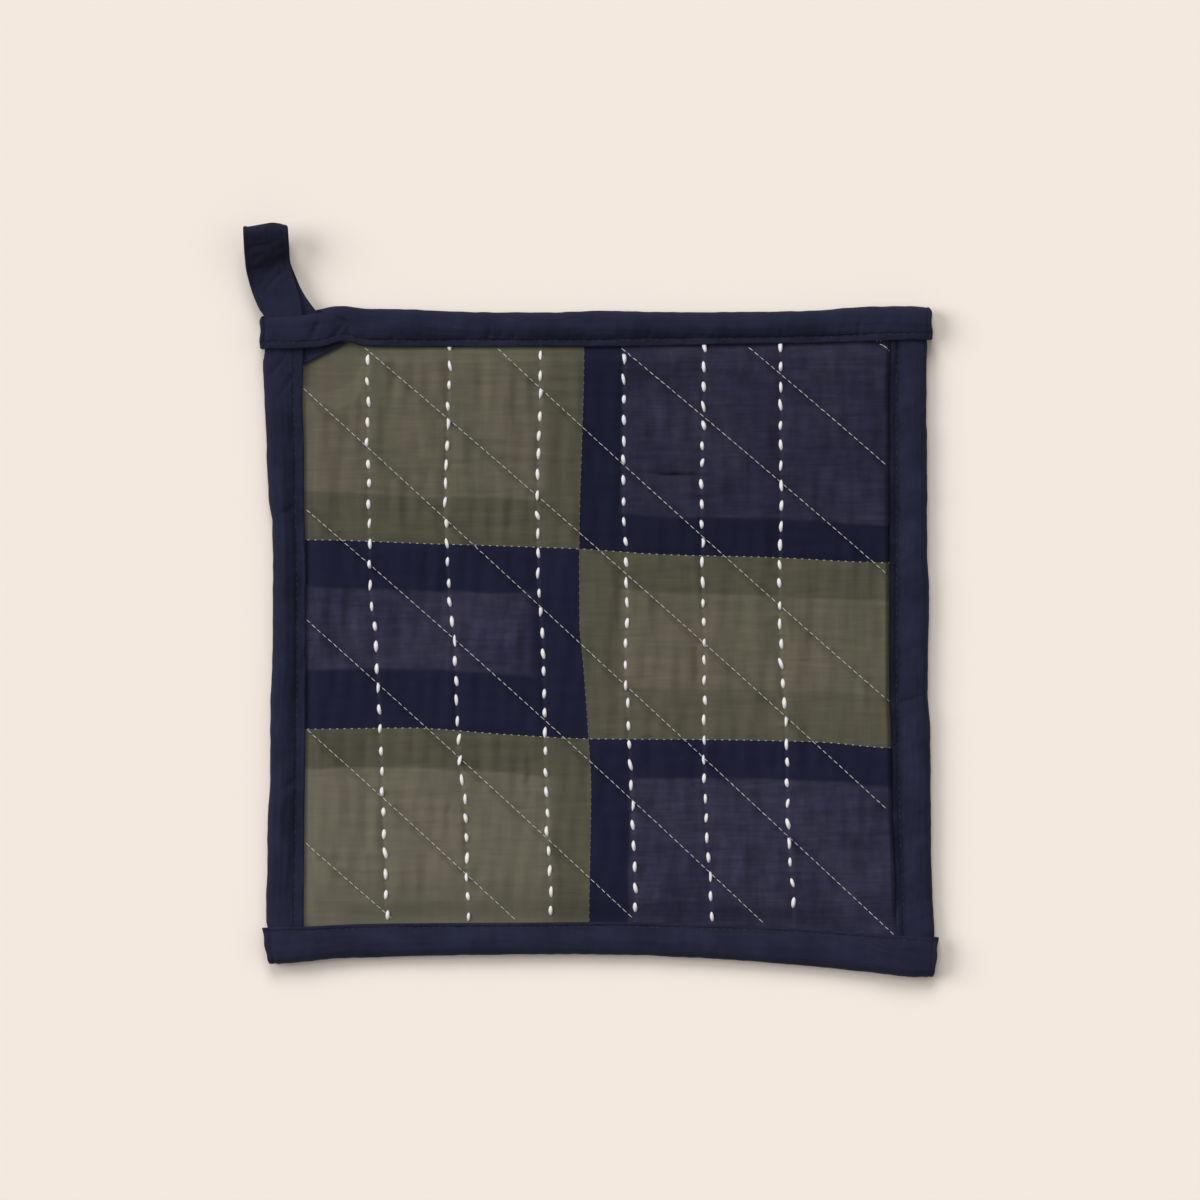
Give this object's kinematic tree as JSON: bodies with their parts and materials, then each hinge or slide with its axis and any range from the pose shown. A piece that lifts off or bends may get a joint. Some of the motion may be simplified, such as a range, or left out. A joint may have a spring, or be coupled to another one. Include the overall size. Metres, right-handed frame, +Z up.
{
  "type": "quilted pot holder",
  "caption": "Square padded patchwork cloth with bound edges and a folded hanging loop at one corner, for holding hot pans.",
  "frame": {"origin": "middle of the underside of the square body, on the surface it lies on", "axes": "+Z up out of the patchwork face, +Y towards the edge that carries the hanging loop, +X along that edge away from the loop"},
  "size_m": [0.2315, 0.2509, 0.0142],
  "materials": {
    "patchwork_cotton": "plain-woven cotton patches in olive and navy, matt",
    "binding_cotton": "plain-woven navy cotton, matt",
    "loop_cotton": "plain-woven navy cotton, folded and pressed, matt"
  },
  "bodies": {
    "root": {"quilted_panel": "patchwork_cotton", "binding_top": "binding_cotton", "binding_bottom": "binding_cotton", "binding_left": "binding_cotton", "binding_right": "binding_cotton", "hanging_loop": "loop_cotton"}
  },
  "joints": []
}
